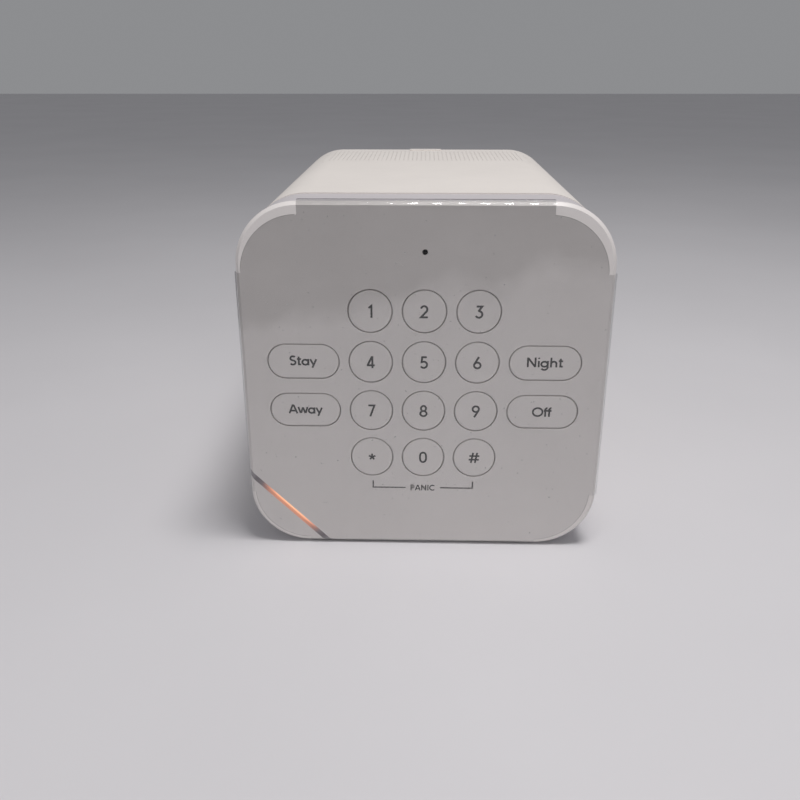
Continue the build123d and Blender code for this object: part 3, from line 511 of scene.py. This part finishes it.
def legend(name, text, body, x, base, surface_y, height, weight, width=None, gap=0.0):
    """A printed word on a baseline, centred on x; its letters are widened to fill a width."""
    starts = [sum(GLYPHS[c][0] + gap for c in text[:i]) for i in range(len(text))]
    spots = [starts[i] + p[0] for i, c in enumerate(text) for stroke in GLYPHS[c][1] for p in stroke]
    wide = (width - weight) / (max(spots) - min(spots)) if width else height
    left = x - (min(spots) + max(spots)) / 2 * wide
    mesh = bmesh.new()
    strokes = 0
    for start, letter in zip(starts, text):
        for stroke in GLYPHS[letter][1]:
            flat = [(left + (start + px) * wide, base + pz * height) for px, pz in stroke]
            # strokes that cross differ a little in height, so that their tops don't coincide
            ribbon(mesh, flat, weight, surface_y, INK_T * (1 + 0.04 * (strokes % 5)))
            strokes += 1
    made_piece(name, mesh, INK, body)


def key_face(key):
    """The middle of a key's top: x, z and the plane it lies in."""
    low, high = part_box(key)
    return (low.x + high.x) / 2, (low.z + high.z) / 2, low.y


DIGIT_H, DIGIT_STROKE = 4.3 * MM, 0.66 * MM
for mark in "0123456789":
    x, z, top = key_face(f"key_{mark}")
    legend(f"legend_{mark}", mark, f"key_{mark}", x, z - DIGIT_H / 2, top, DIGIT_H, DIGIT_STROKE)

# each sign's height, and how far its foot lies below the key's middle
SIGNS = {"star": ("*", 2.4 * MM, 1.2 * MM), "hash": ("#", 3.85 * MM, 1.93 * MM)}
SIGN_STROKE = 0.6 * MM
for key, (sign, height, drop) in SIGNS.items():
    x, z, top = key_face(f"key_{key}")
    legend(f"legend_{key}", sign, f"key_{key}", x, z - drop, top, height, SIGN_STROKE)

# each word's width, and how far its baseline lies below the key's middle
WORDS = {
    "stay": ("Stay", 9.15 * MM, 1.3 * MM),
    "away": ("Away", 11.65 * MM, 1.3 * MM),
    "night": ("Night", 12.05 * MM, 1.3 * MM),
    "off": ("Off", 6.85 * MM, 1.65 * MM),
}
WORD_H, WORD_STROKE, WORD_GAP = 3.35 * MM, 0.62 * MM, 0.01
for key, (word, width, drop) in WORDS.items():
    x, z, top = key_face(f"key_{key}")
    legend(f"legend_{key}", word, f"key_{key}", x, z - drop, top, WORD_H, WORD_STROKE, width, WORD_GAP)

# the word under the keys, and the bracket that joins it to the keys at both sides
BRACKET_Z = MID_Z - 38.15 * MM
BRACKET_INNER, BRACKET_OUTER, BRACKET_RISE, BRACKET_STROKE = 6.0 * MM, 17.25 * MM, 2.6 * MM, 0.42 * MM
SMALL_H, SMALL_STROKE, SMALL_W, SMALL_GAP = 2.2 * MM, 0.4 * MM, 8.5 * MM, 0.06
PRINT_Y = FACE_Y + 0.02 * MM
legend("legend_panic", "PANIC", "root", MID_X, BRACKET_Z - SMALL_H / 2, PRINT_Y,
       SMALL_H, SMALL_STROKE, SMALL_W, SMALL_GAP)
bracket = bmesh.new()
for side in (-1, 1):
    inner, outer = MID_X + side * BRACKET_INNER, MID_X + side * BRACKET_OUTER
    line = [(inner, BRACKET_Z), (outer, BRACKET_Z), (outer, BRACKET_Z + BRACKET_RISE)]
    ribbon(bracket, line, BRACKET_STROKE, PRINT_Y, INK_T)
made_piece("legend_bracket", bracket, INK, "root")

# a grey ribbon on the film's cut edge round the four bare corners: painted shade for the dark line that the
# clear edge shows
FILM_HALF_W, FILM_HALF_H, FILM_R = 58.1 * MM, 57.2 * MM, 18.7 * MM
FILM_X, FILM_Z = MID_X - 0.4 * MM, MID_Z - 1.1 * MM
EDGE_W, EDGE_T, EDGE_SUNK = 0.13 * MM, 0.02 * MM, 0.01 * MM
film_edge_shade = bmesh.new()
for side, above in ((1, 1), (-1, 1), (-1, -1), (1, -1)):
    bend_x = FILM_X + side * (FILM_HALF_W - FILM_R)
    bend_z = FILM_Z + above * (FILM_HALF_H - FILM_R)
    curve = [(bend_x + side * px, bend_z + above * pz) for px, pz in arc(0, 0, FILM_R, FILM_R, 2, 88, 40)]
    ribbon(film_edge_shade, curve, EDGE_W, FACE_Y + EDGE_SUNK, EDGE_T)
made_piece("film_edge_shade", film_edge_shade, FILM_EDGE_SHADE, "root")


# ======== floor, lights, camera ========


def floor():
    """A plain pale floor, wide enough for every view."""
    mesh = bmesh.new()
    bmesh.ops.create_grid(mesh, x_segments=2, y_segments=2, size=4.0)
    data = bpy.data.meshes.new("floor")
    mesh.to_mesh(data)
    mesh.free()
    paint = Paint("floor_pale")
    drift = paint.noise(6.0, 3.0, 0.5)
    tint = paint.ramp(drift, [(0.3, srgb(209, 207, 210)), (0.7, srgb(213, 211, 214))])
    paint.link(tint, paint.shader.inputs["Base Color"])
    paint.shader.inputs["Roughness"].default_value = 0.7
    data.materials.append(paint.material)
    add_object("floor", data)


def area_light(name, place, target, size, power, colour):
    data = bpy.data.lights.new(name, "AREA")
    data.shape = "RECTANGLE"
    data.size, data.size_y = size
    data.energy = power
    data.color = colour
    made = add_object(name, data)
    made.location = place
    made.rotation_euler = (Vector(target) - Vector(place)).to_track_quat("-Z", "Y").to_euler()


floor()
area_light("light_overhead", (0.12, -0.17, 0.88), (0.05, -0.1, 0.0), (0.30, 0.20), 4.9, (1.0, 0.985, 0.975))
area_light("light_front", (0.1, -1.3, 0.5), (0, 0, 0.06), (0.9, 0.5), 2.9, (1.0, 0.99, 0.99))

world = bpy.data.worlds.new("studio")
bpy.context.scene.world = world
world.use_nodes = True
sky = world.node_tree.nodes["Background"]
sky.inputs["Color"].default_value = (*srgb(196, 197, 200), 1)
sky.inputs["Strength"].default_value = 0.48

CAMERA_PLACE = (-0.5 * MM, FACE_Y - 262.04 * MM, PANEL_LOW.z + 160.79 * MM)
PITCH, YAW, ROLL = radians(22.03), radians(-1.614), radians(-0.058)
LENS = 38.06


def add_camera():
    """The camera stands before the face and a little above it, and looks down at it."""
    yaw = Matrix(((cos(YAW), -sin(YAW), 0), (sin(YAW), cos(YAW), 0), (0, 0, 1)))
    pitch = Matrix(((1, 0, 0), (0, cos(PITCH), -sin(PITCH)), (0, sin(PITCH), cos(PITCH))))
    roll = Matrix(((cos(ROLL), 0, sin(ROLL)), (0, 1, 0), (-sin(ROLL), 0, cos(ROLL))))
    right, ahead, up = roll @ pitch @ yaw
    data = bpy.data.cameras.new("camera")
    data.lens = LENS
    data.sensor_width = 36.0
    data.clip_start = 0.01
    data.clip_end = 20.0
    made = add_object("camera", data)
    made.matrix_world = Matrix.Translation(CAMERA_PLACE) @ Matrix((right, up, -ahead)).transposed().to_4x4()
    bpy.context.scene.camera = made


add_camera()
bpy.context.scene.view_settings.view_transform = "Standard"
